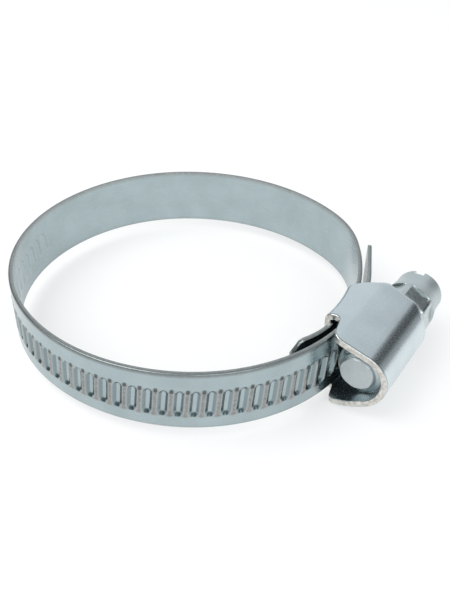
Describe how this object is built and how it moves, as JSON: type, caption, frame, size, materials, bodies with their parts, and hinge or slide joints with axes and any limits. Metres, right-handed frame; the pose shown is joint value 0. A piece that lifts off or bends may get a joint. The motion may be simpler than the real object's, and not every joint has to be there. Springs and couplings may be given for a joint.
{
  "type": "hose clamp",
  "caption": "Worm-drive hose clamp: a slotted steel band closed round a hose by a hex-head screw in a folded housing.",
  "frame": {"origin": "centre of the round seat for the hose, half way up the band", "axes": "+Z along the hose's axis, +X from the seat's centre to the housing, +Y along the screw towards its head"},
  "size_m": [0.0598, 0.0506, 0.0122],
  "materials": {
    "zinc_band": "satin zinc-plated strip",
    "zinc_housing": "satin zinc-plated sheet",
    "zinc_screw": "dull zinc-plated screw"
  },
  "bodies": {
    "frame": {"housing": "zinc_housing", "band_fixed_end": "zinc_band"},
    "screw": {"screw": "zinc_screw"},
    "arc_1": {"band_arc_1": "zinc_band"},
    "arc_2": {"band_arc_2": "zinc_band"},
    "threaded_end": {"band_threaded_end": "zinc_band"}
  },
  "joints": [
    {"name": "screw_spin", "type": "hinge", "parent": "frame", "child": "screw", "pos_m": [0.03045, 0, -0.0004], "axis": [0, -1, 0], "range_deg": [-1080, 1080]},
    {"name": "band_bend_1", "type": "hinge", "parent": "frame", "child": "arc_1", "pos_m": [0.01358, 0.02206, 0], "axis": [0, 0, 1], "range_deg": [-4.5, 4.5]},
    {"name": "band_bend_2", "type": "hinge", "parent": "arc_1", "child": "arc_2", "pos_m": [-0.0246, 0, 0], "axis": [0, 0, 1], "range_deg": [-4.5, 4.5]},
    {"name": "band_bend_3", "type": "hinge", "parent": "arc_2", "child": "threaded_end", "pos_m": [0.01358, -0.02206, 0], "axis": [0, 0, 1], "range_deg": [-4.5, 4.5]}
  ],
  "couplings": [
    {"joint": "band_bend_1", "follows": "screw_spin", "ratio": 0.0041064},
    {"joint": "band_bend_2", "follows": "screw_spin", "ratio": 0.0039832},
    {"joint": "band_bend_3", "follows": "screw_spin", "ratio": 0.0041064}
  ]
}
